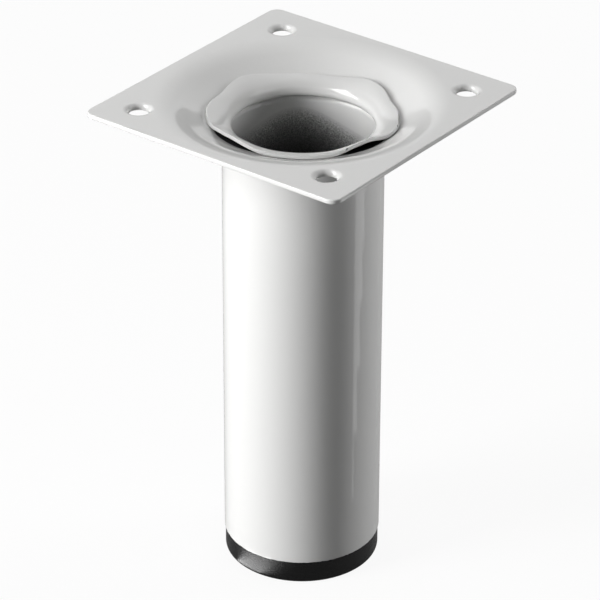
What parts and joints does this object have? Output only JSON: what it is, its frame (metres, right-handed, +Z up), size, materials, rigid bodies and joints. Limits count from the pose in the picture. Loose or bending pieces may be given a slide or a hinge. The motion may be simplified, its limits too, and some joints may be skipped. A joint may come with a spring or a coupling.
{
  "type": "table leg",
  "caption": "Short round steel table leg whose tube is flared over the dished centre of a square screw-on mounting plate, with a plastic foot cap pressed into the lower end.",
  "frame": {"origin": "centre of the foot cap's standing face, on the tube's axis", "axes": "+Z up along the tube to the mounting plate, +X and +Y square to the plate's straight sides"},
  "size_m": [0.095, 0.095, 0.16],
  "materials": {
    "white_paint": "white gloss powder coat on steel",
    "black_plastic": "black moulded plastic with a soft sheen"
  },
  "bodies": {
    "root": {"mounting_plate": "white_paint", "leg_tube": "white_paint", "foot_cap": "black_plastic"}
  },
  "joints": []
}
